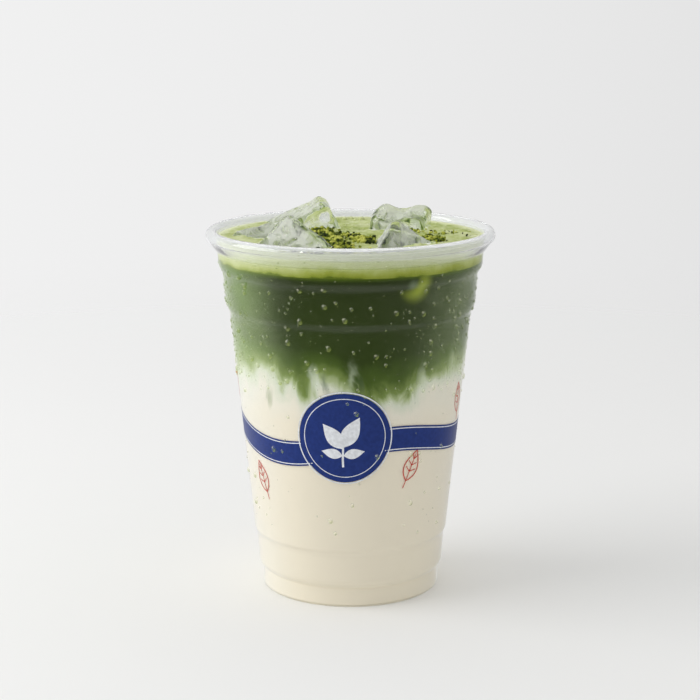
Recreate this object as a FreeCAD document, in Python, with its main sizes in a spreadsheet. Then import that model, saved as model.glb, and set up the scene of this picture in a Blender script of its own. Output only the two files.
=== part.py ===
"""Iced matcha latte in a clear takeaway cup.

The cup stands on the plane z = 0 with its axis on Z. It is a thin thermoformed shell of
revolution: a pushed-up floor, a short foot, four stacking rings and an outward rolled rim.
The drink fills it in three layers, milk, matcha and foam, each cut round the five ice
cubes that stand out of the foam. All lengths are millimetres and all angles degrees.
"""
import FreeCAD, Part
import math
import os
import Sketcher
from FreeCAD import Placement, Rotation, Vector

# Driving dimensions: alias, value, what it is.
SIZES = [
    ("RimTop", 124.6, "overall height of the cup"),
    ("RimRadius", 49.0, "outermost radius of the rolled rim"),
    ("CurlRadius", 2.0, "outer radius of the rolled rim's section"),
    ("CurlTurn", 70.0, "how far the roll turns under, past level"),
    ("WallThickness", 0.5, "wall of the cup"),
    ("FootRadius", 30.4, "outer radius of the foot"),
    ("FootRound", 0.9, "rounding under the foot"),
    ("FootWidth", 2.4, "width of the ring that the cup stands on"),
    ("FootDraft", 0.2, "how far the foot narrows up to its ring"),
    ("FloorRise", 2.6, "height of the pushed-up floor's underside"),
    ("FloorSlope", 3.0, "radial run of the pushed-up floor's flank"),
    ("FootRingHeight", 6.6, "height of the ring over the foot"),
    ("FootRingStep", 1.75, "depth of the ring over the foot"),
    ("FootRingRise", 4.0, "height of the shoulder over that ring"),
    ("FootRingArc", 4.4, "radius of that shoulder"),
    ("BandHeight", 19.6, "height of the ring over the bottom band"),
    ("BandOut", 2.2, "how far the wall there stands out from the foot"),
    ("BandStep", 0.75, "depth of that ring"),
    ("BandRise", 1.9, "height of its shoulder"),
    ("BandArc", 2.6, "radius of its shoulder"),
    ("StackDrop", 27.9, "rim top down to the lower stacking ring"),
    ("StackInset", 4.45, "how far the wall there stands in from the mouth"),
    ("StackStep", 1.5, "depth of the lower stacking ring"),
    ("StackRise", 4.5, "height of its shoulder"),
    ("StackArc", 7.6, "radius of its shoulder"),
    ("NeckDrop", 14.5, "rim top down to the upper stacking ring"),
    ("NeckInset", 2.25, "how far the wall there stands in from the mouth"),
    ("NeckStep", 1.65, "depth of the upper stacking ring"),
    ("NeckRise", 4.4, "height of its shoulder"),
    ("NeckArc", 6.6, "radius of its shoulder"),
    ("MilkLevel", 68.0, "top of the milk"),
    ("FoamDrop", 2.6, "rim top down to the foam's surface"),
    ("FoamDepth", 7.6, "depth of the foam"),
    ("CubePack", 45.0, "inner mouth radius that the ice cubes are packed for"),
    ("CubeTaper", 0.86, "far end of a cube as a share of its near end"),
    ("CubeRound", 3.2, "rounding of a cube's edges"),
    ("SaddleRadius", 7.0, "radius of the melted dip in the two-lobed cube"),
    ("SaddleDepth", 1.4, "depth of that dip below the cube's top"),
    ("SaddleShift", 2.0, "how far that dip lies off the cube's middle"),
]

# Ice cubes: length, width and height, then the centre as x, y and the height over the
# foam, then yaw, pitch and roll.
CUBE_COLUMNS = ("Long", "Wide", "High", "AtX", "AtY", "Over", "Yaw", "Pitch", "Roll")
CUBES = [
    (27.0, 22.0, 21.0, -15.0, 23.5, -4.9, 7.2, -24.7, 5.0),
    (24.5, 21.5, 20.5, -16.8, -20.4, -5.3, -39.9, 27.4, 53.6),
    (20.0, 17.0, 17.0, -29.6, 1.3, -7.1, 35.7, -7.6, 10.1),
    (22.0, 21.0, 20.0, 17.6, 20.6, -3.9, -13.6, 3.0, 9.2),
    (24.5, 22.5, 21.0, 15.9, -18.8, -8.5, 0.3, 34.2, 27.0),
]
SADDLE_CUBE = 4

doc = FreeCAD.newDocument("iced_matcha_latte")
sheet = doc.addObject("Spreadsheet::Sheet", "Sizes")


def fill_sheet():
    """One row to a size: its meaning in A, its value in B under its alias."""
    rows = list(SIZES)
    for number, cube in enumerate(CUBES, start=1):
        for column, value in zip(CUBE_COLUMNS, cube):
            rows.append((cube_alias(number, column), value, "ice cube %d, %s" % (number, column)))
    for row, (alias, value, meaning) in enumerate(rows, start=1):
        sheet.set("A%d" % row, meaning)
        sheet.set("B%d" % row, str(value))
        sheet.setAlias("B%d" % row, alias)
    doc.recompute()


def cube_alias(number, column):
    return "Cube%s%s" % ("ABCDEFGH"[number - 1], column)


def size(text):
    """An expression in the sheet's aliases, each written as {Alias}."""
    return text.replace("{", "Sizes.").replace("}", "")


def value_of(expression):
    """The number that an expression comes to now."""
    found = sheet.evalExpression(expression.replace("Sizes.", ""))
    return float(getattr(found, "Value", found))


# ---- Levels and radii that several pieces share --------------------------------------
CURL_CENTRE = size("({RimRadius} - {CurlRadius})")
CURL_LEVEL = size("({RimTop} - {CurlRadius})")
MOUTH = size("({RimRadius} - 2 * {CurlRadius} + {WallThickness})")
MOUTH_INSIDE = size("({RimRadius} - 2 * {CurlRadius})")
FOAM_TOP = size("({RimTop} - {FoamDrop})")
FOAM_BASE = size("({RimTop} - {FoamDrop} - {FoamDepth})")
CUBE_FIT = size("(" + MOUTH_INSIDE + " / {CubePack})")


# ---- Sketched outlines ---------------------------------------------------------------
def arc_middle(start, end, radius, side):
    """A point halfway along the short arc of that radius, left (+1) or right (-1) of its chord."""
    along = end - start
    chord = along.Length
    rise = radius - math.sqrt(max(radius * radius - chord * chord / 4, 0))
    left = Vector(-along.y, along.x, 0).normalize()
    return (start + end) * 0.5 + left * (rise * side)


def draw_outline(sketch, outline):
    """Draws a closed outline and binds it to the sheet.

    Each entry is (x, z, radius, side): a corner, and the arc that leaves it, or None for a
    straight line. Both coordinates and the radius are expressions. A sketch's arcs all run
    anticlockwise, so an arc that bulges to the left is drawn from its far end.
    """
    corners = [Vector(value_of(x), value_of(z), 0) for x, z, radius, side in outline]
    count = len(outline)
    for index, (x, z, radius, side) in enumerate(outline):
        start = corners[index]
        end = corners[(index + 1) % count]
        if radius is None:
            sketch.addGeometry(Part.LineSegment(start, end))
        else:
            middle = arc_middle(start, end, value_of(radius), side)
            first, last = (end, start) if side > 0 else (start, end)
            sketch.addGeometry(Part.Arc(first, middle, last))
    starts = [nearer_end(sketch.Geometry[index], corners[index]) for index in range(count)]
    for index in range(count):
        following = (index + 1) % count
        sketch.addConstraint(
            Sketcher.Constraint("Coincident", index, 3 - starts[index], following, starts[following])
        )
    for index, (x, z, radius, side) in enumerate(outline):
        pin_corner(sketch, index, starts[index], "DistanceX", x, -2)
        pin_corner(sketch, index, starts[index], "DistanceY", z, -1)
        if radius is not None:
            number = sketch.addConstraint(Sketcher.Constraint("Radius", index, value_of(radius)))
            sketch.setExpression("Constraints[%d]" % number, radius)


def nearer_end(edge, corner):
    """1 if the edge starts at the corner and 2 if it ends there, as the sketch numbers them."""
    at_start = edge.StartPoint.distanceToPoint(corner)
    at_end = edge.EndPoint.distanceToPoint(corner)
    return 1 if at_start < at_end else 2


def pin_corner(sketch, index, end, kind, expression, axis):
    """Holds a corner at its distance from the origin, or on the axis where that is zero."""
    if expression == "0":
        sketch.addConstraint(Sketcher.Constraint("PointOnObject", index, end, axis))
        return
    constraint = Sketcher.Constraint(kind, -1, 1, index, end, value_of(expression))
    number = sketch.addConstraint(constraint)
    sketch.setExpression("Constraints[%d]" % number, expression)


def turned_body(label, outline):
    """A PartDesign body that turns an outline in the XZ plane round the Z axis."""
    body = doc.addObject("PartDesign::Body", label)
    body.Label = label
    sketch = body.newObject("Sketcher::SketchObject", label + "_outline")
    plane = [item for item in body.Origin.OriginFeatures if item.Role == "XZ_Plane"][0]
    sketch.AttachmentSupport = [(plane, "")]
    sketch.MapMode = "FlatFace"
    doc.recompute()
    draw_outline(sketch, outline)
    doc.recompute()
    turn = body.newObject("PartDesign::Revolution", label + "_turn")
    turn.Profile = sketch
    turn.ReferenceAxis = (sketch, ["V_Axis"])
    turn.Angle = 360.0
    sketch.Visibility = False
    doc.recompute()
    return body


def less(expression, inset):
    return expression if inset == "0" else "(%s - %s)" % (expression, inset)


def wall_upwards(inset):
    """The wall from its foot to just under the rim, moved in by an inset: (x, z, radius, side)."""
    rings = [
        (size("({FootRadius} - {FootDraft})"), size("{FootRingHeight}"),
         size("{FootRingStep}"), size("{FootRingRise}"), size("{FootRingArc}")),
        (size("({FootRadius} + {BandOut})"), size("{BandHeight}"),
         size("{BandStep}"), size("{BandRise}"), size("{BandArc}")),
        (size("(" + MOUTH + " - {StackInset})"), size("({RimTop} - {StackDrop})"),
         size("{StackStep}"), size("{StackRise}"), size("{StackArc}")),
        (size("(" + MOUTH + " - {NeckInset})"), size("({RimTop} - {NeckDrop})"),
         size("{NeckStep}"), size("{NeckRise}"), size("{NeckArc}")),
    ]
    corners = []
    for radius, height, step, rise, arc in rings:
        corners.append((less(radius, inset), height, arc, -1))
        corners.append((less("(%s + %s)" % (radius, step), inset), "(%s + %s)" % (height, rise), None, 0))
    return corners


def downwards(corners):
    """The same corners and arcs, walked the other way."""
    reversed_corners = []
    for index in range(len(corners) - 1, -1, -1):
        x, z = corners[index][:2]
        arc, side = corners[index - 1][2:] if index > 0 else (None, 0)
        reversed_corners.append((x, z, arc, -side))
    return reversed_corners


# ---- The cup -------------------------------------------------------------------------
def curl_point(radius, turn):
    """A point of the rolled rim's section, turned down from level on the outer side."""
    x = "(%s + %s * cos(%s * 1 deg))" % (CURL_CENTRE, radius, turn)
    z = "(%s - %s * sin(%s * 1 deg))" % (CURL_LEVEL, radius, turn)
    return x, z


def floor_inside():
    """The inner face of foot and floor, from the wall's foot in to the axis."""
    wall = size("{WallThickness}")
    trough = size("({FootRadius} - {FootRound})")
    flank = size("({FootRadius} - {FootRound} - {FootWidth} + {WallThickness})")
    floor = size("({FootRadius} - {FootRound} - {FootWidth} - {FloorSlope})")
    rounding = size("({FootRound} - {WallThickness})")
    return [
        (size("({FootRadius} - {WallThickness})"), size("{FootRound}"), rounding, -1),
        (trough, wall, None, 0),
        (flank, wall, None, 0),
        (floor, size("({FloorRise} + {WallThickness})"), None, 0),
        ("0", size("({FloorRise} + {WallThickness})"), None, 0),
    ]


def cup_outline():
    wall = size("{WallThickness}")
    inner_curl = size("({CurlRadius} - {WallThickness})")
    outer_curl = size("{CurlRadius}")
    lip_inside = curl_point(inner_curl, size("{CurlTurn}"))
    lip_outside = curl_point(outer_curl, size("{CurlTurn}"))
    underside = [
        ("0", size("{FloorRise}"), None, 0),
        (size("({FootRadius} - {FootRound} - {FootWidth} - {FloorSlope})"), size("{FloorRise}"), None, 0),
        (size("({FootRadius} - {FootRound} - {FootWidth})"), "0", None, 0),
        (size("({FootRadius} - {FootRound})"), "0", size("{FootRound}"), -1),
        (size("{FootRadius}"), size("{FootRound}"), None, 0),
    ]
    roll = [
        (MOUTH, CURL_LEVEL, inner_curl, 1),
        (CURL_CENTRE, size("({RimTop} - {WallThickness})"), inner_curl, 1),
        (size("({RimRadius} - {WallThickness})"), CURL_LEVEL, inner_curl, 1),
        (lip_inside[0], lip_inside[1], None, 0),
        (lip_outside[0], lip_outside[1], outer_curl, -1),
        (size("{RimRadius}"), CURL_LEVEL, outer_curl, -1),
        (CURL_CENTRE, size("{RimTop}"), outer_curl, -1),
        (MOUTH_INSIDE, CURL_LEVEL, None, 0),
    ]
    return underside + wall_upwards("0") + roll + downwards(wall_upwards(wall)) + floor_inside()


# ---- The drink -----------------------------------------------------------------------
def fill_outline():
    """All the space in the cup up to the level where its rim starts to roll."""
    inside = [(MOUTH_INSIDE, CURL_LEVEL, None, 0)] + downwards(wall_upwards(size("{WallThickness}")))
    return [("0", CURL_LEVEL, None, 0)] + inside + floor_inside()


def layer(label, fill, ice, base, top):
    """What lies in the cup between two levels, cut round the ice."""
    slab = doc.addObject("Part::Cylinder", label + "_slab")
    slab.setExpression("Radius", size("{RimRadius}"))
    slab.setExpression("Height", "%s - %s" % (top, base))
    slab.setExpression("Placement.Base.z", base)
    whole = doc.addObject("Part::Common", label + "_whole")
    whole.Base = fill
    whole.Tool = slab
    cut = doc.addObject("Part::Cut", label)
    cut.Label = label
    cut.Base = whole
    cut.Tool = ice
    doc.recompute()
    return cut


# ---- The ice -------------------------------------------------------------------------
def melt_saddle(body, half_height):
    """A shallow trough across the cube's top, which leaves it with two lobes."""
    trough = body.newObject("PartDesign::SubtractiveCylinder", body.Label + "_saddle")
    trough.setExpression("Radius", size("{SaddleRadius} * 1 mm * ") + CUBE_FIT)
    trough.setExpression("Height", size("{RimRadius} * 1 mm"))
    axis_over_top = size("({SaddleRadius} - {SaddleDepth}) * 1 mm * ") + CUBE_FIT
    trough.setExpression("Placement.Base.x", size("-{SaddleShift} * 1 mm * ") + CUBE_FIT)
    trough.setExpression("Placement.Base.y", half_height + " + " + axis_over_top)
    trough.setExpression("Placement.Base.z", size("-{RimRadius} / 2 * 1 mm"))
    doc.recompute()


def ice_cube(number):
    """A tapered cube with its edges melted round, set down in the foam."""
    def own(column):
        return "Sizes." + cube_alias(number, column)

    label = "ice_%d" % number
    body = doc.addObject("PartDesign::Body", label)
    body.Label = label
    block = body.newObject("PartDesign::AdditiveWedge", label + "_block")
    for across, column in (("X", "Long"), ("Z", "Wide")):
        half = "%s * %s / 2 * 1 mm" % (own(column), CUBE_FIT)
        block.setExpression(across + "min", "-" + half)
        block.setExpression(across + "max", half)
        block.setExpression(across + "2min", "-" + half + size(" * {CubeTaper}"))
        block.setExpression(across + "2max", half + size(" * {CubeTaper}"))
    half_height = "%s * %s / 2 * 1 mm" % (own("High"), CUBE_FIT)
    block.setExpression("Ymin", "-" + half_height)
    block.setExpression("Ymax", half_height)
    doc.recompute()
    rounded = body.newObject("PartDesign::Fillet", label + "_rounded")
    rounded.Base = (block, [""])
    rounded.UseAllEdges = True
    rounded.setExpression("Radius", size("{CubeRound} * 1 mm * ") + CUBE_FIT)
    doc.recompute()
    if number == SADDLE_CUBE:
        melt_saddle(body, half_height)
    upright = Rotation(Vector(1, 0, 0), 90)
    angles = [value_of(own(column)) for column in ("Yaw", "Pitch", "Roll")]
    body.Placement = Placement(Vector(), Rotation(*angles).multiply(upright))
    body.setExpression("Placement.Base.x", "%s * %s * 1 mm" % (own("AtX"), CUBE_FIT))
    body.setExpression("Placement.Base.y", "%s * %s * 1 mm" % (own("AtY"), CUBE_FIT))
    body.setExpression("Placement.Base.z", "(%s + %s * %s) * 1 mm" % (FOAM_TOP, own("Over"), CUBE_FIT))
    doc.recompute()
    return body


# ---- Build and write -----------------------------------------------------------------
fill_sheet()
cup = turned_body("cup", cup_outline())
fill = turned_body("fill", fill_outline())
cubes = [ice_cube(number) for number in range(1, len(CUBES) + 1)]
all_ice = doc.addObject("Part::MultiFuse", "all_ice")
all_ice.Shapes = cubes
doc.recompute()
milk = layer("milk", fill, all_ice, "0", size("{MilkLevel}"))
matcha = layer("matcha", fill, all_ice, size("{MilkLevel}"), FOAM_BASE)
foam = layer("foam", fill, all_ice, FOAM_BASE, FOAM_TOP)
doc.recompute()

for item in doc.Objects:
    if "Invalid" in item.State or "Error" in item.State:
        raise RuntimeError("%s did not build: %s" % (item.Label, item.State))

nodes = [cup, milk, matcha, foam] + cubes
for node in nodes:
    if node.Shape.isNull() or not node.Shape.isValid():
        raise RuntimeError("%s has no valid shape" % node.Label)

os.makedirs("parts", exist_ok=True)
for node in nodes:
    node.Shape.exportStep("parts/%s.step" % node.Label)
    box = node.Shape.BoundBox
    print("%-8s solids %d  volume %9.1f mm3  z %6.2f to %6.2f" % (
        node.Label, len(node.Shape.Solids), node.Shape.Volume, box.ZMin, box.ZMax))
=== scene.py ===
# %% [markdown]
# # An iced matcha latte in a clear cup
# The drink is built from the outside in: a thin clear cup, the milk, the matcha and the foam
# that fill it, ice that stands out of the top, and then the small things that make it look
# cold: drops of water on the wall, bubbles and dry powder on the foam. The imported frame
# gives every size and place, so the first step is to load it.

# %% Load the frame
import math
import random

import bpy
from mathutils import Euler, Matrix, Vector, noise
from mathutils.bvhtree import BVHTree


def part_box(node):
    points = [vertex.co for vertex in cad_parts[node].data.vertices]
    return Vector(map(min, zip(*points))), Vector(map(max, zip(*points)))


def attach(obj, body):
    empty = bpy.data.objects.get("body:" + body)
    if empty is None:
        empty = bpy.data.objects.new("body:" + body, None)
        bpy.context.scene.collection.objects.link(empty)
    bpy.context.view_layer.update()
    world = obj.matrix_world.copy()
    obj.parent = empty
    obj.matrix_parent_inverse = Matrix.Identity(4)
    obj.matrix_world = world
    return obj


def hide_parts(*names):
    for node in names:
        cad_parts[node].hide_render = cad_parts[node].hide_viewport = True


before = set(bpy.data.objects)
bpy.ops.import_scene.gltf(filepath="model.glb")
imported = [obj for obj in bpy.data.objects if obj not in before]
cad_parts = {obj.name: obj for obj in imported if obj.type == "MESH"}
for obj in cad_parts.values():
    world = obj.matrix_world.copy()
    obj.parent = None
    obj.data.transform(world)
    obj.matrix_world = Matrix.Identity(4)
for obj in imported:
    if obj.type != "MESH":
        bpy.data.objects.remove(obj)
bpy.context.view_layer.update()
MM = 0.001
print("nodes", sorted(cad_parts))

# %% [markdown]
# ## Small helpers
# Nearly every piece needs the same few moves: clear the selection, go into edit mode,
# apply a modifier, and hand the finished piece to the body that carries it. Writing each
# move once keeps the later cells short.

# %% Helpers for modelling
def deselect():
    """Leaves nothing selected, because an operator acts on all that is selected."""
    if bpy.context.object and bpy.context.object.mode != "OBJECT":
        bpy.ops.object.mode_set(mode="OBJECT")
    bpy.ops.object.select_all(action="DESELECT")


def pick(*objects):
    deselect()
    for item in objects:
        item.select_set(True)
    bpy.context.view_layer.objects.active = objects[0]


def settle(item):
    """Puts an object's place, turn and scale into its mesh."""
    pick(item)
    bpy.ops.object.transform_apply(location=True, rotation=True, scale=True)


def apply_modifiers(item):
    pick(item)
    for modifier in list(item.modifiers):
        bpy.ops.object.modifier_apply(modifier=modifier.name)


def modify(item, kind, **settings):
    """Adds a modifier and its settings."""
    modifier = item.modifiers.new(kind.lower(), kind)
    for key, value in settings.items():
        setattr(modifier, key, value)


def add_lumps(item, size, height, detail=1, **settings):
    """Pushes a surface up and down by a cloudy pattern, with its lumps in millimetres."""
    pattern = bpy.data.textures.new(item.name + "_lumps", "CLOUDS")
    pattern.noise_scale = size * MM
    pattern.noise_depth = detail
    modify(item, "DISPLACE", texture=pattern, texture_coords="LOCAL", mid_level=0.5,
           strength=height * MM, **settings)


def smooth(item, degrees=None):
    pick(item)
    if degrees is None:
        bpy.ops.object.shade_smooth()
    else:
        bpy.ops.object.shade_smooth_by_angle(angle=math.radians(degrees))


def edit_whole(item, operator, **settings):
    """Runs one operator on the whole mesh in edit mode."""
    pick(item)
    bpy.ops.object.mode_set(mode="EDIT")
    bpy.ops.mesh.select_all(action="SELECT")
    operator(**settings)
    bpy.ops.object.mode_set(mode="OBJECT")


def face_outwards(item):
    edit_whole(item, bpy.ops.mesh.normals_make_consistent, inside=False)


def join(name, items):
    pick(*items)
    if len(items) > 1:
        bpy.ops.object.join()
    items[0].name = name
    items[0].data.name = name
    return items[0]


def copies(template, places, name):
    """Copies one small mesh to each place, joins the copies into one piece, drops the template."""
    made = []
    for place in places:
        copy = bpy.data.objects.new(name, template.data.copy())
        copy.data.transform(place)
        bpy.context.scene.collection.objects.link(copy)
        made.append(copy)
    bpy.data.objects.remove(template)
    return join(name, made)


def finish_piece(item, material, replaced=()):
    """Gives a piece its material, and hangs it on the one body of this object."""
    item.data.materials.clear()
    item.data.materials.append(material)
    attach(item, "root")
    if replaced:
        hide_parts(*replaced)
    print(item.name, "faces", len(item.data.polygons))


# %% [markdown]
# ## Helpers for materials
# Colours are written as sRGB hex, as a designer reads them, and one function turns them
# to the linear values that the shader wants. One more function adds a node, sets its
# values and joins its links.

# %% Helpers for materials
def linear(code):
    """sRGB hex to linear RGBA."""
    parts = [int(code[index:index + 2], 16) / 255 for index in (1, 3, 5)]
    return [part / 12.92 if part <= 0.04045 else ((part + 0.055) / 1.055) ** 2.4 for part in parts] + [1.0]


def feed(tree, value, entry):
    """Links a socket, or a node's first output, to an input, or sets a plain value there."""
    if isinstance(value, bpy.types.Node):
        value = value.outputs[0]
    if isinstance(value, bpy.types.NodeSocket):
        tree.links.new(value, entry)
    else:
        entry.default_value = value


def add(tree, kind, inputs=None, **settings):
    """Adds a node. Its inputs are values, sockets or other nodes."""
    made = tree.nodes.new(kind)
    for key, value in settings.items():
        setattr(made, key, value)
    for key, value in (inputs or {}).items():
        feed(tree, value, made.inputs[key])
    return made


def calc(tree, operation, *values, clamp=False):
    return add(tree, "ShaderNodeMath", dict(enumerate(values)), operation=operation, use_clamp=clamp)


def remap(tree, value, reads, gives=(0.0, 1.0), smooth=False):
    """Maps one span of values to another, and holds the ends."""
    spans = {"From Min": reads[0], "From Max": reads[1], "To Min": gives[0], "To Max": gives[1]}
    return add(tree, "ShaderNodeMapRange", {"Value": value, **spans},
               interpolation_type="SMOOTHSTEP" if smooth else "LINEAR")


def vector(tree, operation, *values):
    return add(tree, "ShaderNodeVectorMath", dict(enumerate(values)), operation=operation)


def length_of(tree, value):
    return vector(tree, "LENGTH", value).outputs["Value"]


def height_of(tree, place):
    return add(tree, "ShaderNodeSeparateXYZ", {0: place}).outputs["Z"]


def cloud(tree, place, scale, detail, roughness=0.5, distortion=0.0):
    """Noise, about 0.3 to 0.7, with so many features to the metre."""
    noise_node = add(tree, "ShaderNodeTexNoise", {"Vector": place, "Scale": scale, "Detail": detail,
                                                  "Roughness": roughness, "Distortion": distortion})
    return noise_node.outputs["Fac"]


def blend(tree, share, first, second):
    """Mixes two shaders."""
    return add(tree, "ShaderNodeMixShader", {0: share, 1: first, 2: second})


def matte(tree, code):
    return add(tree, "ShaderNodeBsdfDiffuse", {"Color": linear(code)})


def mix_value(tree, share, first, second):
    return add(tree, "ShaderNodeMix", {"Factor": share, "A": first, "B": second})


def ramp(tree, factor, stops):
    """A colour ramp: stops are (place, hex or linear colour)."""
    made = add(tree, "ShaderNodeValToRGB", {"Fac": factor})
    elements = made.color_ramp.elements
    while len(elements) < len(stops):
        elements.new(0.5)
    for element, (place, colour) in zip(elements, stops):
        element.position = place
        element.color = linear(colour) if isinstance(colour, str) else colour
    return made.outputs["Color"]


def mix_colour(tree, share, first, second):
    made = add(tree, "ShaderNodeMix", data_type="RGBA")
    # A Mix node has an A and a B for each kind of value: its colours are inputs 6 and 7.
    for index, value in ((0, share), (6, first), (7, second)):
        feed(tree, value, made.inputs[index])
    return made.outputs[2]


def near(tree, place, centre, size, stretch=(1.0, 1.0, 1.0)):
    """1 at a place, falling to 0 at a distance, in metres."""
    away = vector(tree, "SUBTRACT", place, tuple(centre))
    scaled = vector(tree, "MULTIPLY", away, stretch)
    distance = length_of(tree, scaled)
    return remap(tree, distance, (size, 0.0), smooth=True)


def new_material(name):
    """A material with its tree, its output and its Object coordinates."""
    made = bpy.data.materials.new(name)
    made.use_nodes = True
    tree = made.node_tree
    tree.nodes.clear()
    place = add(tree, "ShaderNodeTexCoord").outputs["Object"]
    return made, tree, place


def output(tree, surface):
    add(tree, "ShaderNodeOutputMaterial", {"Surface": surface})


def let_lamps_through(tree, clear):
    """Clear stuff that refracts what is seen, but lets light for the drink pass straight on."""
    path = add(tree, "ShaderNodeLightPath")
    passing = calc(tree, "MAXIMUM", path.outputs["Is Shadow Ray"], path.outputs["Is Diffuse Ray"])
    see_through = add(tree, "ShaderNodeBsdfTransparent", {"Color": (0.97, 0.98, 0.97, 1)})
    return blend(tree, passing, clear, see_through).outputs[0]


# %% [markdown]
# ## The camera
# A long lens from a step back keeps the cup's sides nearly straight, and a slight look
# down shows the ice over the rim. The distances are metres in the frame.

# %% Camera
CAMERA_PLACE = Vector((0.0, -0.6352, 0.2162))
CAMERA_DOWN = 11.918
CAMERA_LENS = 97.31
bpy.ops.object.camera_add(location=CAMERA_PLACE, rotation=(math.radians(90 - CAMERA_DOWN), 0, 0))
camera = bpy.context.object
camera.data.lens = CAMERA_LENS
camera.data.sensor_width = 36.0
camera.data.shift_x = -0.00064
bpy.context.scene.camera = camera
print("camera", tuple(round(value, 3) for value in camera.location), "lens", CAMERA_LENS)

# %% [markdown]
# ## The cup's section
# A thermoformed cup is a shell of revolution, so one section line describes it: floor,
# foot, four stacking rings, and the lip that rolls outward. Straight stretches need only
# their ends, and the shoulders and the roll are arcs worked out from their radius.

# %% Section of the cup, in millimetres
RIM_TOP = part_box("cup")[1].z / MM
RIM_RADIUS = 49.0
CURL = 2.0
WALL = 0.5
FOOT = 30.4
FOOT_ROUND = 0.9
FLOOR_RISE = 2.6
CURL_LEVEL = RIM_TOP - CURL
MOUTH = RIM_RADIUS - 2 * CURL + WALL
# Each ring: wall radius and height where it steps, then the step, its rise and its arc.
RINGS = [
    (FOOT - 0.2, 6.6, 1.75, 4.0, 4.4),
    (FOOT + 2.2, 19.6, 0.75, 1.9, 2.6),
    (MOUTH - 4.45, RIM_TOP - 27.9, 1.5, 4.5, 7.6),
    (MOUTH - 2.25, RIM_TOP - 14.5, 1.65, 4.4, 6.6),
]


def bulge(start, end, radius, steps):
    """Points after start, up to end, on an arc that bulges away from the axis."""
    (r0, z0), (r1, z1) = start, end
    chord = math.hypot(r1 - r0, z1 - z0)
    half = math.asin(chord / (2 * radius))
    across = ((z1 - z0) / chord, -(r1 - r0) / chord)
    back = radius * math.cos(half)
    centre = ((r0 + r1) / 2 - across[0] * back, (z0 + z1) / 2 - across[1] * back)
    first = math.atan2(z0 - centre[1], r0 - centre[0])
    angles = [first + 2 * half * step / steps for step in range(1, steps + 1)]
    return [(centre[0] + radius * math.cos(angle), centre[1] + radius * math.sin(angle)) for angle in angles]


def straight(start, end, spacing):
    """Points after start, up to end, no further apart than the spacing."""
    steps = max(1, math.ceil(math.hypot(end[0] - start[0], end[1] - start[1]) / spacing))
    return [(start[0] + (end[0] - start[0]) * step / steps,
             start[1] + (end[1] - start[1]) * step / steps) for step in range(1, steps + 1)]


def wall_line(start, inset, spacing):
    """The wall's line from a start at the foot up to the last shoulder, moved in by an inset."""
    line = [start]
    for radius, height, step, rise, arc in RINGS:
        corner = (radius - inset, height)
        line += straight(line[-1], corner, spacing)
        line += bulge(corner, (corner[0] + step, height + rise), arc, 6)
    return line


print("rim top", round(RIM_TOP, 2), "mouth radius", MOUTH)

# %% [markdown]
# ## Turning a section into a shell
# By hand this is a lathe job: add a circle, then extrude it and scale it from station to
# station up the section. That gives even quads all round, which smooth shading likes. The
# spin tool would do the same, but raising a ring keeps the mesh closed at its seam.

# %% Lathe helper
AROUND = 144


def close_pole(item, height, radius):
    """Merges the small ring at one end of a lathe into one vertex on the axis."""
    pick(item)
    for vertex in item.data.vertices:
        at_axis = math.hypot(vertex.co.x, vertex.co.y) < radius * 1.01 * MM
        vertex.select = at_axis and abs(vertex.co.z - height * MM) < 0.02 * MM
    bpy.ops.object.mode_set(mode="EDIT")
    bpy.ops.mesh.select_mode(type="VERT")
    bpy.ops.mesh.merge(type="CENTER")
    bpy.ops.object.mode_set(mode="OBJECT")


def lathe(name, section, around=AROUND):
    deselect()
    radius, height = section[0]
    bpy.ops.mesh.primitive_circle_add(vertices=around, radius=radius * MM, location=(0, 0, height * MM))
    item = bpy.context.object
    item.name = name
    settle(item)
    bpy.ops.object.mode_set(mode="EDIT")
    bpy.ops.mesh.select_all(action="SELECT")
    for next_radius, next_height in section[1:]:
        bpy.ops.mesh.extrude_region_move(
            TRANSFORM_OT_translate={"value": (0, 0, (next_height - height) * MM)})
        scale = next_radius / radius
        bpy.ops.transform.resize(value=(scale, scale, 1), center_override=(0, 0, next_height * MM))
        radius, height = next_radius, next_height
    bpy.ops.object.mode_set(mode="OBJECT")
    return item


# %% [markdown]
# ## The clear cup
# The section runs from the middle of the floor, out under the foot, up the wall and over
# the rolled lip. Solidify then gives the sheet its half millimetre of wall on the inner
# side, which leaves the roll hollow as it is on the real cup.

# %% Model the cup
POLE = 0.4


def curl_points(turn_from, turn_to, radius, steps):
    """The rolled lip, by angle from level on the outer side, anticlockwise."""
    centre = (RIM_RADIUS - CURL, CURL_LEVEL)
    points = []
    for step in range(steps + 1):
        angle = math.radians(turn_from + (turn_to - turn_from) * step / steps)
        points.append((centre[0] + radius * math.cos(angle), centre[1] + radius * math.sin(angle)))
    return points


def cup_section():
    flat = FOOT - FOOT_ROUND
    line = [(POLE, FLOOR_RISE)]
    line += straight(line[-1], (flat - 5.4, FLOOR_RISE), 4)
    line += straight(line[-1], (flat - 2.4, 0), 1.5)
    line += straight(line[-1], (flat, 0), 1.2)
    line += bulge(line[-1], (FOOT, FOOT_ROUND), FOOT_ROUND, 5)
    line = line[:-1] + wall_line((FOOT, FOOT_ROUND), 0, 3)
    line += straight(line[-1], (MOUTH, CURL_LEVEL), 2)[:-1]
    # The sheet's outer face is the inner side of the roll.
    line += curl_points(180, -70, CURL - WALL, 22)
    return line


cup = lathe("cup_shell", cup_section())
close_pole(cup, FLOOR_RISE, POLE)
face_outwards(cup)


def faces_out_from_axis(item):
    """True if the wall's faces point away from the axis."""
    total = 0.0
    for face in item.data.polygons:
        outwards = Vector((face.center.x, face.center.y, 0)).normalized()
        total += face.normal.dot(outwards) * face.area
    return total > 0


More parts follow.
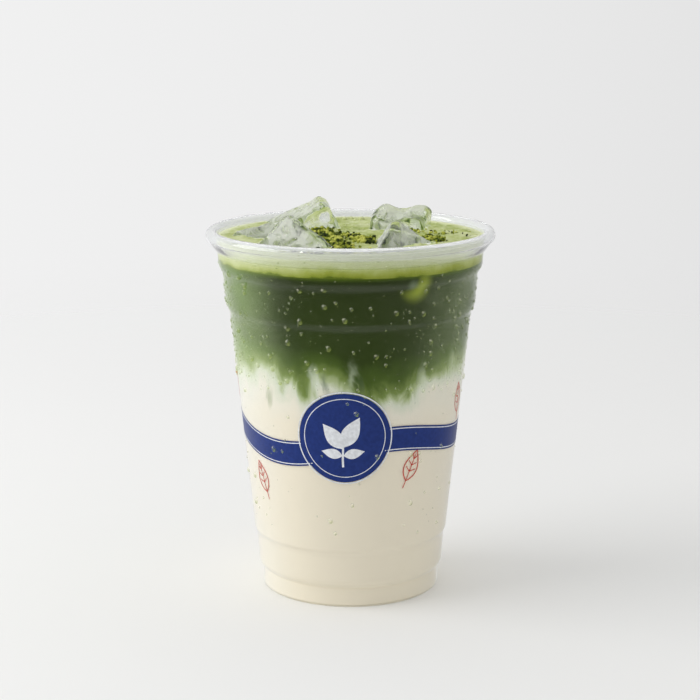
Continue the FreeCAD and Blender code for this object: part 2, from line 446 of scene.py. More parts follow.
if not faces_out_from_axis(cup):
    cup.data.flip_normals()
modify(cup, "SOLIDIFY", thickness=WALL * MM, offset=-1, use_even_offset=True)
apply_modifiers(cup)
smooth(cup, 40)
print("cup faces", len(cup.data.polygons))

# %% [markdown]
# ## Clear PET
# Drinks cups are thermoformed from PET sheet: clear, quite glossy, with an index near
# 1.575. Cold drinks mist it with drops too fine to model, which whiten it a little where
# they gather. A fine noise picks the misted specks, and a bump roughens the gloss.

# %% Material: clear PET
MIST_GRAIN = 0.4
# The mist comes in over one span of heights and goes over another, in metres.
MIST_STARTS = (0.055, 0.085)
MIST_ENDS = (0.112, 0.117)


def side_share(tree, place, low, high):
    """0 at the front and back of the cup, 1 at its left and right, by the share x / radius."""
    flat = vector(tree, "MULTIPLY", place, (1.0, 1.0, 0.0))
    around = vector(tree, "NORMALIZE", flat)
    across = add(tree, "ShaderNodeSeparateXYZ", {0: around}).outputs["X"]
    left = remap(tree, across, (-low, -high), smooth=True)
    right = remap(tree, across, (low, high), smooth=True)
    return left, right


def clear_pet():
    made, tree, place = new_material("PET")
    scale = 1 / (MIST_GRAIN * MM)
    grain = cloud(tree, place, scale, 1.0)
    patches = cloud(tree, place, 60.0, 2.0)
    left, right = side_share(tree, place, 0.35, 0.95)
    sides = calc(tree, "ADD", left, right)
    height = height_of(tree, place)
    cold = remap(tree, height, MIST_STARTS)
    warm = remap(tree, height, MIST_ENDS, (1.0, 0.0))
    where = calc(tree, "MULTIPLY", cold, warm)
    amount = calc(tree, "MULTIPLY_ADD", sides, 0.1, 0.01)
    specks = remap(tree, grain, (0.42, 0.62), (0.45, 1.6))
    patchy = remap(tree, patches, (0.35, 0.65), (0.5, 1.4))
    mist = calc(tree, "MULTIPLY", amount, specks)
    mist = calc(tree, "MULTIPLY", mist, patchy)
    mist = calc(tree, "MULTIPLY", mist, where)
    rough = remap(tree, where, (0.0, 1.0), (0.008, 0.03))
    grit = calc(tree, "MULTIPLY", where, 0.08)
    bump = add(tree, "ShaderNodeBump",
               {"Height": grain, "Strength": grit, "Distance": 0.0002})
    clear = add(tree, "ShaderNodeBsdfPrincipled",
                {"Base Color": linear("#FBFCFC"), "Roughness": rough, "IOR": 1.575,
                 "Transmission Weight": 1.0, "Normal": bump})
    white = matte(tree, "#DDE8C4")
    misted = blend(tree, mist, clear, white)
    # The rolled rim is painted a little milky grey, a painted reflection of the light that bounces round
    # inside the roll.
    roll = remap(tree, height, ((RIM_TOP - 4.4) * MM, (RIM_TOP - 3.6) * MM), (0.0, 0.16))
    painted_roll_haze = matte(tree, "#E4E4E8")
    misted = blend(tree, roll, misted, painted_roll_haze)
    output(tree, let_lamps_through(tree, misted))
    return made


finish_piece(cup, clear_pet(), ["cup"])

# %% [markdown]
# ## Milk and matcha
# The drink is opaque, so only its skin shows, but it has to touch the plastic: a film of
# air between them would mirror. Each layer is turned from the inner line of the wall, moved
# a fifth of a millimetre out, so it ends just inside the wall.

# %% Model the milk and the matcha
REACH = 0.2
INSET = WALL - REACH
MILK_BASE = FLOOR_RISE + INSET
MILK_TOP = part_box("milk")[1].z / MM
FOAM_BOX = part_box("foam")
FOAM_TOP = FOAM_BOX[1].z / MM
FOAM_BASE = FOAM_BOX[0].z / MM


def radius_at(line, height):
    """The radius of a section line at a height."""
    for (r0, z0), (r1, z1) in zip(line, line[1:]):
        if z0 <= height <= z1:
            share = (height - z0) / (z1 - z0) if z1 > z0 else 0
            return r0 + (r1 - r0) * share
    return line[-1][0]


def between(line, low, high):
    """The part of a section line between two heights, with new ends there."""
    inner = [point for point in line if low + 0.05 < point[1] < high - 0.05]
    return [(radius_at(line, low), low)] + inner + [(radius_at(line, high), high)]


def fill_line():
    line = wall_line((FOOT - INSET, FOOT_ROUND), INSET, 3)
    return line + straight(line[-1], (MOUTH - INSET, CURL_LEVEL), 2)


def across(radius, height, spacing):
    """Rings over a flat top, from the wall in to the pole."""
    return straight((radius, height), (POLE, height), spacing)


def milk_section():
    flat = FOOT - FOOT_ROUND
    under = [(POLE, MILK_BASE)]
    under += straight(under[-1], (flat - 5.4, MILK_BASE), 6)
    under += straight(under[-1], (flat - 2.2, INSET), 2)
    under += [(flat - 0.1, INSET)]
    side = between(fill_line(), FOOT_ROUND, MILK_TOP)
    return under + side + across(side[-1][0], MILK_TOP, 8)


def layer_section(low, high, spacing):
    """A layer on another: its underside, its side along the wall, and its flat top."""
    side = between(fill_line(), low, high)
    under = [(side[0][0] * share / 5, low) for share in range(1, 5)]
    return [(POLE, low)] + under + side + across(side[-1][0], high, spacing)


def close_both(item, low, high):
    close_pole(item, low, POLE)
    close_pole(item, high, POLE)
    face_outwards(item)


milk = lathe("milk_fill", milk_section())
close_both(milk, MILK_BASE, MILK_TOP)
smooth(milk, 40)
matcha = lathe("matcha_fill", layer_section(MILK_TOP, FOAM_BASE, 8))
close_both(matcha, MILK_TOP, FOAM_BASE)
print("milk to", round(MILK_TOP, 1), "foam from", round(FOAM_BASE, 1), "to", round(FOAM_TOP, 1))

# %% [markdown]
# ## Foam
# The foam is the same turned shape with a flat top. The top gets its own close rings, then
# a Displace modifier with a cloud pattern gives it the low, lumpy skin of settled froth.

# %% Model the foam
SKIN_SPACING = 0.8
FOAM_AROUND = 216
foam = lathe("foam_head", layer_section(FOAM_BASE, FOAM_TOP, SKIN_SPACING), FOAM_AROUND)
close_both(foam, FOAM_BASE, FOAM_TOP)


def mark_skin(item, height):
    """Groups the top skin, so that only it is displaced, and less so near the wall."""
    skin = item.vertex_groups.new(name="skin")
    for vertex in item.data.vertices:
        reach = math.hypot(vertex.co.x, vertex.co.y) / MM
        if vertex.co.z > (height - 0.01) * MM:
            skin.add([vertex.index], min(1.0, max(0.0, (MOUTH - 0.8 - reach) / 3)), "REPLACE")

mark_skin(foam, FOAM_TOP)
add_lumps(foam, 9.0, 1.6, vertex_group="skin", direction="Z")
add_lumps(foam, 2.6, 0.9, detail=2, vertex_group="skin", direction="Z")
apply_modifiers(foam)

# %% [markdown]
# ## Ice
# Machine ice is a tapered block with its edges melted round. Each block starts as a cube at
# its size, place and turn, its far face is scaled in for the taper, its edges are bevelled,
# and a displacement with large soft lumps makes the faces wavy, as melting ice is. Trapped
# air whitens the middles of the faces, and the faces turned to the lamps at the front left get a painted
# highlight, so each vertex is given its share of white.

# %% Model the ice
# Length, width and height; then the centre, with its height over the foam; then yaw, pitch and roll.
ICE = [
    ((27, 22, 21), (-15.0, 23.5, -4.9), (7.2, -24.7, 5.0)),
    ((24.5, 21.5, 20.5), (-16.8, -20.4, -5.3), (-39.9, 27.4, 53.6)),
    ((20, 17, 17), (-29.6, 1.3, -7.1), (35.7, -7.6, 10.1)),
    ((22, 21, 20), (17.6, 20.6, -3.9), (-13.6, 3.0, 9.2)),
    ((24.5, 22.5, 21), (15.9, -18.8, -8.5), (0.3, 34.2, 27.0)),
]
TAPER = 0.86
MELT_ROUND = 2.6
LOBED = 4
TROUGH_RADIUS = 7
TROUGH_DEPTH = 1.9
TROUGH_SHIFT = -2
VOXEL = 0.5
HIGHLIGHT_SIDE = Vector((-0.55, -0.62, 0.56)).normalized()


def melt_trough(item, height):
    """Cuts the shallow trough that leaves a block with two lobes."""
    centre = (TROUGH_SHIFT * MM, 0, (height / 2 + TROUGH_RADIUS - TROUGH_DEPTH) * MM)
    deselect()
    bpy.ops.mesh.primitive_cylinder_add(vertices=48, radius=TROUGH_RADIUS * MM, depth=60 * MM,
                                        rotation=(math.pi / 2, 0, 0), location=centre)
    tool = bpy.context.object
    modify(item, "BOOLEAN", operation="DIFFERENCE", object=tool)
    apply_modifiers(item)
    bpy.data.objects.remove(tool)


def frost_and_highlight_faces(block, size, stance):
    """Marks how white each spot is: the middles of the faces for trapped air, most of all those to the front
    left, where the white is a painted highlight toward the lamps.
    """
    turn = stance.to_3x3()
    to_block = stance.inverted()
    halves = [length / 2 * MM for length in size]
    frost_and_highlight = block.data.attributes.new("frost_and_highlight", "FLOAT", "POINT")
    for vertex, value in zip(block.data.vertices, frost_and_highlight.data):
        local = to_block @ vertex.co
        narrow = 1 + (TAPER - 1) * (local.z / halves[2] + 1) / 2
        shares = [abs(local.x) / (halves[0] * narrow), abs(local.y) / (halves[1] * narrow),
                  abs(local.z) / halves[2]]
        second, face = sorted(range(3), key=lambda axis: shares[axis])[1:]
        normal = turn.col[face] * (1 if local[face] > 0 else -1)
        middle = min(1.0, max(0.0, (0.86 - shares[second]) / 0.1))
        # Painted highlight: faces turned to the lamps at the front left are whiter.
        facing = min(1.0, max(0.0, 0.12 + 1.25 * normal.dot(HIGHLIGHT_SIDE)))
        value.value = middle * facing


def ice_block(number, size, place, turn):
    deselect()
    bpy.ops.mesh.primitive_cube_add(size=MM, scale=size)
    block = bpy.context.object
    block.name = "ice_block_%d" % number
    settle(block)
    for vertex in block.data.vertices:
        vertex.select = vertex.co.z > 0
    bpy.ops.object.mode_set(mode="EDIT")
    bpy.ops.mesh.select_mode(type="VERT")
    bpy.ops.transform.resize(value=(TAPER, TAPER, 1), center_override=(0, 0, 0))
    bpy.ops.mesh.select_all(action="SELECT")
    bpy.ops.mesh.bevel(offset=MELT_ROUND * MM, segments=4, profile=0.5, affect="EDGES")
    bpy.ops.object.mode_set(mode="OBJECT")
    if number == LOBED:
        melt_trough(block, size[2])
    yaw, pitch, roll = (math.radians(angle) for angle in turn)
    block.location = Vector((place[0], place[1], FOAM_TOP + place[2])) * MM
    block.rotation_euler = (roll, pitch, yaw)
    bpy.context.view_layer.update()
    stance = block.matrix_world.copy()
    settle(block)
    modify(block, "REMESH", mode="VOXEL", voxel_size=VOXEL * MM)
    apply_modifiers(block)
    add_lumps(block, 8.0, 1.3)
    add_lumps(block, 3.0, 0.7)
    modify(block, "SMOOTH", factor=0.5, iterations=3)
    apply_modifiers(block)
    smooth(block)
    frost_and_highlight_faces(block, size, stance)
    return block


blocks = [ice_block(number, *shape) for number, shape in enumerate(ICE, start=1)]
print("ice blocks", len(blocks), "faces each", len(blocks[0].data.polygons))

# %% [markdown]
# ## Hollows for the ice
# Ice shows what is behind and under it, so the foam and the matcha need real hollows where
# the ice sits. Each cutter is the block itself, shrunk a little so that ice and drink
# overlap by a hair and no film of air is left, and a Boolean takes it out. The surface
# against the ice is marked, so that its material can paint it pale: painted light seen through the ice.

# %% Cut the drink round the ice
# The hollows lie this far inside the ice, and a surface this near to the ice is a hollow's.
PIT_GAP = 0.15
PIT_REACH = 0.28


def hollow(item, cutters):
    for block in cutters:
        cutter = block.copy()
        cutter.data = block.data.copy()
        bpy.context.scene.collection.objects.link(cutter)
        modify(cutter, "DECIMATE", ratio=0.2)
        modify(cutter, "DISPLACE", mid_level=0.0, strength=-PIT_GAP * MM)
        apply_modifiers(cutter)
        modify(item, "BOOLEAN", operation="DIFFERENCE", object=cutter, solver="EXACT")
        apply_modifiers(item)
        bpy.data.objects.remove(cutter)


def mark_pits(item, cutters):
    """Marks the surface that lies against the ice, which the material paints pale as painted light seen
    through the ice.
    """
    trees = []
    for block in cutters:
        points = [vertex.co for vertex in block.data.vertices]
        trees.append(BVHTree.FromPolygons(points, [face.vertices for face in block.data.polygons]))
    pit = item.data.attributes.new("pit", "FLOAT", "POINT")
    for vertex, value in zip(item.data.vertices, pit.data):
        nearest = min(tree.find_nearest(vertex.co)[3] for tree in trees)
        value.value = 1.0 if nearest < PIT_REACH * MM else 0.0


for layer in (foam, matcha):
    hollow(layer, blocks)
    mark_pits(layer, blocks)
smooth(foam, 50)
smooth(matcha, 40)
print("foam faces", len(foam.data.polygons), "matcha faces", len(matcha.data.polygons))

# %% [markdown]
# ## The colours of the drink
# Milk is a warm white and strong matcha a deep leaf green. Where they meet they cloud into
# each other: the edge rises and falls round the cup, and threads of milk reach up into the
# green. One graph makes both layers, so the cloud runs on over the level where one piece
# ends and the next starts. Height drives a colour ramp, and noise stretched upright bends it.

# %% Material: milk and matcha
CLOUD_LOW = 62.0
CLOUD_HIGH = 118.0
BUBBLE = (43.9, 27.2, 111.6)
# Where the milk stands higher: degrees round from the front, height and reach.
MILK_RISES = [(-45, 78, 34), (72, 80, 30), (165, 80, 40)]
# Wisps of milk, and dim shapes of ice: turn, height, half width, strength and colour.
WISPS = [
    (-18.5, 80.0, 2.2, 0.8, "#DDE4D2"), (-13.0, 79.0, 1.7, 0.75, "#4E5F4C"),
    (0.5, 81.0, 2.4, 0.7, "#B9C5A9"), (4.5, 79.0, 1.7, 0.7, "#45553F"),
    (38.0, 78.0, 2.6, 0.6, "#D6DEC6"), (-44.0, 72.0, 1.6, 0.5, "#7E9360"),
    (60.0, 82.0, 2.4, 0.6, "#C9D4B2"), (96.0, 80.0, 2.2, 0.7, "#DDE4D2"),
    (101.0, 78.0, 1.6, 0.6, "#4E5F4C"), (-112.0, 79.0, 2.4, 0.7, "#D6DEC6"),
    (-150.0, 81.0, 2.2, 0.7, "#C9D4B2"), (142.0, 79.0, 2.0, 0.7, "#4E5F4C"),
]


def around_wall(radius, turn, height):
    """A point by radius, degrees round from the front, and height, in metres."""
    angle = math.radians(turn)
    return Vector((radius * math.sin(angle), -radius * math.cos(angle), height)) * MM


def drink_colours(tree, place):
    """The colour by height, with the height bent by tall noise and fine threads."""
    leaning = add(tree, "ShaderNodeMapping",
                  {"Vector": place, "Rotation": (0.0, 0.6, 0.0), "Scale": (1.0, 1.0, 0.55)})
    broad = cloud(tree, leaning, 42.0, 2.0, distortion=1.0)
    threads = cloud(tree, leaning, 130.0, 4.0, roughness=0.55, distortion=2.4)
    height = height_of(tree, place)
    level = remap(tree, height, (CLOUD_LOW * MM, CLOUD_HIGH * MM))
    fade = ramp(tree, level, [(0.0, "#000000"), (0.08, "#AAAAAA"), (0.22, "#FFFFFF"),
                              (0.4, "#BBBBBB"), (0.6, "#444444"), (0.9, "#111111")])
    sway = calc(tree, "SUBTRACT", broad, 0.5)
    thread = calc(tree, "SUBTRACT", threads, 0.5)
    both = calc(tree, "MULTIPLY", thread, 0.15)
    bend = calc(tree, "MULTIPLY_ADD", sway, 0.55, both)
    bent = calc(tree, "MULTIPLY_ADD", bend, fade, level)
    for turn, up, size in MILK_RISES:
        rise = calc(tree, "MULTIPLY", near(tree, place, around_wall(38, turn, up), size * MM), 0.09)
        bent = calc(tree, "SUBTRACT", bent, rise)
    main = ramp(tree, bent, [
        (0.0, "#F4EAD6"), (0.13, "#F1EBDB"), (0.20, "#DDE1CD"), (0.245, "#B5C193"), (0.29, "#7B8E4C"),
        (0.37, "#4B5F25"), (0.47, "#344318"), (0.915, "#2D3914"), (0.936, "#4C5F14")])
    # Painted light: the left and right of the drink are painted lighter, most of all the left where the lamp
    # is, and the front stays darker, as in shade.
    pale = ramp(tree, bent, [
        (0.0, "#ECE6D8"), (0.13, "#EBE8DD"), (0.20, "#DFE4CF"), (0.245, "#C3CEA4"), (0.29, "#A3B475"),
        (0.37, "#86A052"), (0.47, "#769045"), (0.915, "#6D893D"), (0.936, "#6F8628")])
    left, right = side_share(tree, place, 0.5, 0.98)
    sides = calc(tree, "MULTIPLY_ADD", right, 0.3, left, clamp=True)
    cloudy = remap(tree, broad, (0.3, 0.7), (0.6, 1.2))
    share = calc(tree, "MULTIPLY", sides, cloudy, clamp=True)
    colour = mix_colour(tree, share, main, pale)
    # Loose wisps of milk, and the dim shapes of ice behind, above and below the edge.
    shifted = calc(tree, "MULTIPLY", threads, 0.006)
    swayed = add(tree, "ShaderNodeCombineXYZ", {0: shifted})
    swayed = vector(tree, "ADD", place, swayed)
    for turn, up, size, strength, code in WISPS:
        spot = around_wall(37.8, turn, up) + Vector((0.003, 0, 0))
        wisp = calc(tree, "MULTIPLY", near(tree, swayed, spot, size * MM, (1.0, 0.5, 0.28)), strength)
        colour = mix_colour(tree, wisp, colour, linear(code))
    return colour


def in_pits(tree, place, colour):
    """Paints the drink that lies against ice pale, with a few dark streaks: painted light and shade seen
    through the clear ice.
    """
    pit = add(tree, "ShaderNodeAttribute", attribute_name="pit")
    turned = add(tree, "ShaderNodeMapping",
                 {"Vector": place, "Rotation": (0.4, 0.5, 0.2), "Scale": (1.0, 1.0, 0.45)})
    streaks = cloud(tree, turned, 130.0, 3.0, distortion=2.0)
    # Painted light and shade: pale where the ice would look lit, with a few dark streaks.
    painted_pit_light = ramp(tree, streaks, [
        (0.40, "#F3F6EC"), (0.50, "#E3EBC8"), (0.56, "#B6C678"), (0.61, "#5C7634"), (0.66, "#34491F")])
    return mix_colour(tree, pit.outputs["Fac"], colour, painted_pit_light)


def drink(name):
    made, tree, place = new_material(name)
    colour = drink_colours(tree, place)
    # A bubble caught under the foam, and the crescent of yellow-green froth it drags down.
    centre = around_wall(*BUBBLE)
    glow = near(tree, place, centre + Vector((0.0016, 0, -0.0006)), 0.0072)
    cut = near(tree, place, centre + Vector((-0.0004, 0, 0.0012)), 0.0056)
    crescent = calc(tree, "SUBTRACT", glow, cut, clamp=True)
    crescent = calc(tree, "MULTIPLY", crescent, 1.3, clamp=True)
    colour = mix_colour(tree, crescent, colour, linear("#A3B23E"))
    core = calc(tree, "MULTIPLY", near(tree, place, centre, 0.0028), 0.8)
    colour = mix_colour(tree, core, colour, linear("#6F7D5F"))
    colour = in_pits(tree, place, colour)
    skin = add(tree, "ShaderNodeBsdfPrincipled",
               {"Base Color": colour, "Roughness": 0.5, "IOR": 1.34, "Specular IOR Level": 0.1})
    output(tree, skin)
    return made


finish_piece(milk, drink("Milk"), ["milk"])
finish_piece(matcha, drink("Matcha"), ["matcha"])

# %% [markdown]
# ## The foam's colour
# Milk froth coloured by matcha: pale yellow green where it is thick, deeper where it thins
# out over the dark drink. Against the wall it is paler than on its open top: partly finer froth,
# partly painted light that lifts the shade under the rim, and lighter still on the left, painted as lit by
# the lamp.

# %% Material: matcha foam
FROTH_CELL = 0.6


def froth():
    made, tree, place = new_material("Froth")
    height = height_of(tree, place)
    patch = cloud(tree, place, 110.0, 4.0, roughness=0.6)
    sway = remap(tree, patch, (0.3, 0.7), (-0.0010, 0.0010))
    bent = calc(tree, "ADD", height, sway)
    depth = remap(tree, bent, (FOAM_BASE * MM, FOAM_TOP * MM))
    middle = ramp(tree, depth, [
        (0.0, "#5E7018"), (0.05, "#8A972F"), (0.2, "#A0AA48"), (0.38, "#B8C174"), (0.55, "#D0D69E"),
        (1.0, "#DADFB2")])
    # Painted light: the band at the wall is lighter on the left, as lit by the lamp there.
    painted_lit_left = ramp(tree, depth, [
        (0.0, "#6F8228"), (0.05, "#A0AC50"), (0.2, "#C2CA86"), (0.4, "#D6DBA8"), (1.0, "#DFE3BC")])
    left, right = side_share(tree, place, 0.2, 0.8)
    side = mix_colour(tree, left, middle, painted_lit_left)
    grain = cloud(tree, place, 620.0, 3.0, roughness=0.7)
    mottle = calc(tree, "MULTIPLY_ADD", grain, 0.45, patch)
    top = ramp(tree, mottle, [
        (0.52, "#7F9038"), (0.64, "#9FAC5A"), (0.74, "#B4BE7A"), (0.86, "#C9D09C"), (0.98, "#DDE1BC")])
    flat = vector(tree, "MULTIPLY", place, (1.0, 1.0, 0.0))
    reach = length_of(tree, flat)
    # Near the wall the foam takes the paler band: finer froth, and painted light in the shade under the rim.
    at_wall = remap(tree, reach, ((MOUTH - 4.0) * MM, (MOUTH - 1.2) * MM))
    colour = mix_colour(tree, at_wall, top, side)
    cells = add(tree, "ShaderNodeTexVoronoi", {"Vector": place, "Scale": 1 / (FROTH_CELL * MM)})
    holes = add(tree, "ShaderNodeTexVoronoi", {"Vector": place, "Scale": 1 / (2.6 * MM)})
    pin = remap(tree, holes.outputs["Distance"], (0.16, 0.10), (0.0, 0.5))
    colour = mix_colour(tree, pin, colour, linear("#7C8B38"))
    colour = in_pits(tree, place, colour)
    bump = add(tree, "ShaderNodeBump",
               {"Height": cells.outputs["Distance"], "Strength": 0.4, "Distance": 0.0002})
    skin = add(tree, "ShaderNodeBsdfPrincipled",
               {"Base Color": colour, "Roughness": 0.5, "IOR": 1.34, "Specular IOR Level": 0.25,
                "Normal": bump})
    output(tree, skin)
    return made


froth_material = froth()
finish_piece(foam, froth_material, ["foam"])

# %% [markdown]
# ## Clear ice
# Ice has an index of 1.31, lower than water, so its edges are soft to the eye. Its surface
# is wet and smooth, but the core holds white veils of trapped air and fine cracks; the white
# is also a painted highlight on the faces turned to the lamps.

# %% Material: ice
def clear_ice(name, white_share, seed):
    made, tree, place = new_material(name)
    turned = add(tree, "ShaderNodeMapping",
                 {"Vector": place, "Rotation": (0.5 + seed, 0.3, 0.8 * seed), "Scale": (1.0, 0.45, 1.0)})
    streaks = cloud(tree, turned, 150.0, 3.0, distortion=2.2)
    patches = remap(tree, streaks, (0.38, 0.56), (0.25, 1.0))
    faces = add(tree, "ShaderNodeAttribute", attribute_name="frost_and_highlight")
    # The white share is trapped air, and a painted highlight on the faces toward the lamps.
    frost_and_highlight = calc(tree, "MULTIPLY", patches, faces.outputs["Fac"])
    frost_and_highlight = calc(tree, "MULTIPLY", frost_and_highlight, white_share)
    cracks = add(tree, "ShaderNodeTexVoronoi", {"Vector": turned, "Scale": 160.0}, feature="SMOOTH_F1")
    bump = add(tree, "ShaderNodeBump",
               {"Height": cracks.outputs["Distance"], "Strength": 0.12, "Distance": 0.0008})
    clear = add(tree, "ShaderNodeBsdfPrincipled",
                {"Base Color": linear("#FBFDFC"), "Roughness": 0.02, "IOR": 1.31,
                 "Transmission Weight": 1.0, "Normal": bump})
    white = matte(tree, "#FAFAFA")
    through = add(tree, "ShaderNodeBsdfTranslucent", {"Color": linear("#FAFAFA")})
    veil_and_highlight = blend(tree, 0.6, white, through)
    mixed = blend(tree, frost_and_highlight, clear, veil_and_highlight)
    output(tree, let_lamps_through(tree, mixed))
    return made


WHITE_SHARES = [0.95, 0.9, 0.9, 0.9, 0.98]
for number, (block, white_share) in enumerate(zip(blocks, WHITE_SHARES), start=1):
    finish_piece(block, clear_ice("Ice%d" % number, white_share, number), ["ice_%d" % number])

# %% [markdown]
# ## Matcha powder
# A pinch of dry powder lies on the foam in loose clumps. One crumb is an icosphere with
# its points pushed in and out, and copies of it, turned and sized at random, make the heap.

# %% Model the powder
chance = random.Random(7)
POWDER_HEAPS = [
    # Where a heap starts and ends on the foam, how wide it is, how high, and its crumbs.
    ((-11, 11), (-6, -8), 4.6, 1.3, 420),
    ((-6, -8), (-2, -35), 4.2, 1.0, 480),
    ((-0.5, 0), (6.5, -18), 3.6, 1.1, 330),
    ((26, -5), (30, -16), 2.6, 0.8, 150),
    ((-22, -34), (8, -38), 3.5, 0.5, 110),
    ((16, 6), (36, 2), 6.0, 0.2, 60),
]


def crumb():
    deselect()
    bpy.ops.mesh.primitive_ico_sphere_add(subdivisions=1, radius=0.5 * MM)
    grain = bpy.context.object
    edit_whole(grain, bpy.ops.transform.vertex_random, offset=0.2 * MM, seed=3)
    return grain


def random_turn(source):
    return Euler([source.uniform(0, 2 * math.pi) for _ in range(3)]).to_matrix().to_4x4()


def stand_on(surface, x, y, default):
    """The height of a surface under a point, found with a ray from above."""
    hit, place, normal, face = surface.ray_cast(Vector((x * MM, y * MM, 0.2)), Vector((0, 0, -1)))
    return place.z if hit and place.z > default * MM else None


def powder_places():
    places = []
    for (x0, y0), (x1, y1), width, tall, count in POWDER_HEAPS:
        for _ in range(count):
            share = chance.random()
            off_x, off_y = chance.gauss(0, width / 2), chance.gauss(0, width / 2)
            x = x0 + (x1 - x0) * share + off_x
            y = y0 + (y1 - y0) * share + off_y
            height = stand_on(foam, x, y, FOAM_TOP - 3)
            if height is None:
                continue
            scale = chance.choice([0.5, 0.7, 0.9, 1.2, 1.6])
            clump = 0.5 + noise.noise(Vector((x, y, 0)) * 0.45)
            middle = max(0.0, 1 - math.hypot(off_x, off_y) / width)
            lift = (scale * 0.25 + chance.random() * tall * middle * max(0.0, clump)) * MM
            size = Matrix.Diagonal((scale, scale * chance.uniform(0.6, 1), scale * 0.7, 1))
            places.append(Matrix.Translation((x * MM, y * MM, height + lift)) @ random_turn(chance) @ size)
    return places


def outside_ice(places):
    """Drops the places that fall inside a block of ice."""
    kept = []
    for place in places:
        point = place.translation
        inside = False
        for block in blocks:
            found, surface, normal, face = block.closest_point_on_mesh(point)
            if found and (point - surface).dot(normal) < 0.0001:
                inside = True
        if not inside:
            kept.append(place)
    return kept


powder = copies(crumb(), outside_ice(powder_places()), "powder_clumps")


def dry_powder():
    made, tree, place = new_material("MatchaPowder")
    shade = cloud(tree, place, 330.0, 1.0)
    colour = ramp(tree, shade, [
        (0.38, "#232E08"), (0.46, "#55641A"), (0.54, "#9AA235"), (0.66, "#C9CB66")])
    skin = add(tree, "ShaderNodeBsdfPrincipled",
               {"Base Color": colour, "Roughness": 0.85, "Specular IOR Level": 0.2})
    output(tree, skin)
    return made


finish_piece(powder, dry_powder())

# %% [markdown]
# ## Bubbles in the foam
# Larger bubbles lie on the froth, most of them near the wall and between the blocks. Each
# is a thin dome, so a flattened icosphere sunk to its middle stands for it.

# %% Model the bubbles
BACK_BUBBLES = [(-2.0, 38.8, 1.0), (0.5, 39.2, 0.8), (4.0, 38.6, 1.1), (1.8, 36.9, 0.7)]


def dome():
    deselect()
    bpy.ops.mesh.primitive_ico_sphere_add(subdivisions=2, radius=MM)
    bubble = bpy.context.object
    edit_whole(bubble, bpy.ops.transform.resize, value=(1, 1, 0.7))
    smooth(bubble)
    return bubble


def bubble_places():
    spots = list(BACK_BUBBLES)
    for _ in range(520):
        turn = chance.uniform(0, 2 * math.pi)
        reach = (MOUTH - 1.2) * math.sqrt(chance.random())
        radius = chance.choice([0.18, 0.22, 0.3, 0.42])
        spots.append((reach * math.sin(turn), reach * math.cos(turn), radius))
    places = []
    for x, y, radius in spots:
        height = stand_on(foam, x, y, FOAM_TOP - 3)
        if height is not None and math.hypot(x, y) + radius < MOUTH - 0.6:
            places.append(Matrix.Translation((x * MM, y * MM, height)) @ Matrix.Scale(radius, 4))
    return places


bubbles = copies(dome(), outside_ice(bubble_places()), "foam_bubbles")


def bubble_skin():
    made, tree, place = new_material("FrothBubble")
    skin = add(tree, "ShaderNodeBsdfPrincipled",
               {"Base Color": linear("#C7CE95"), "Roughness": 0.15, "IOR": 1.33})
    output(tree, skin)
    return made


finish_piece(bubbles, bubble_skin())

# %% [markdown]
# ## Water on the outside
# Cold plastic gathers drops. Large ones sit apart, with cleared space between, and fine
# ones fill in. A drop is a low dome, a little longer downwards, that sits on the wall.

# %% Model the drops of water
# A drop gathers the lamp's light on its far side, and mirrors the lamp near its top left.
DROP_FLAT = 0.62
DROP_TALL = 1.1
LENS_GLOW = Vector((0.62, -0.45, -0.62)).normalized()
GLINT = Vector((-0.5, -0.7, 0.55)).normalized()


def drop_template():
    deselect()
    bpy.ops.mesh.primitive_ico_sphere_add(subdivisions=2, radius=MM)
    bead = bpy.context.object
    edit_whole(bead, bpy.ops.transform.resize, value=(1, DROP_FLAT, DROP_TALL))
    smooth(bead)
    shine = bead.data.color_attributes.new("shine", "FLOAT_COLOR", "POINT")
    for vertex, value in zip(bead.data.vertices, shine.data):
        way = Vector((vertex.co.x, vertex.co.y / DROP_FLAT, vertex.co.z / DROP_TALL)).normalized()
        bright = max(0.0, way.dot(LENS_GLOW) - 0.25) / 0.75
        glint = 1.0 if way.dot(GLINT) > 0.93 else 0.0
        value.color = (bright, glint, 0, 1)
    return bead


OUTER = wall_line((FOOT, FOOT_ROUND), 0, 3) + [(MOUTH, CURL_LEVEL)]


def on_wall(turn, height, stand_off=0.0):
    """The frame of a spot on the outer wall: its Y looks in, its Z runs up the wall."""
    radius = radius_at(OUTER, height)
    lean = math.atan2(radius_at(OUTER, height + 0.5) - radius_at(OUTER, height - 0.5), 1.0)
    place = Matrix.Translation(around_wall(radius + stand_off, turn, height))
    return place @ Matrix.Rotation(math.radians(turn), 4, "Z") @ Matrix.Rotation(lean, 4, "X")


def drop_places():
    places = []
    taken = []
    for _ in range(5200):
        turn = chance.uniform(-180, 180)
        height = chance.uniform(24, 114)
        in_green = 1.0 if 74 < height < 113 else 0.12
        at_side = 0.2 + 0.8 * abs(math.sin(math.radians(turn)))
        if chance.random() > in_green * at_side:
            continue
        size = chance.choice([0.1, 0.12, 0.15, 0.15, 0.2, 0.2, 0.26, 0.3, 0.4, 0.6, 0.95])
        if any(abs(height - h) < size + s and
               abs((turn - t + 180) % 360 - 180) * 0.7 < size + s for t, h, s in taken):
            continue
        taken.append((turn, height, size))
        shape = Matrix.Diagonal((size, size, size * chance.uniform(0.95, 1.2), 1))
        places.append(on_wall(turn, height) @ shape)
    return places


drops = copies(drop_template(), drop_places(), "water_drops")


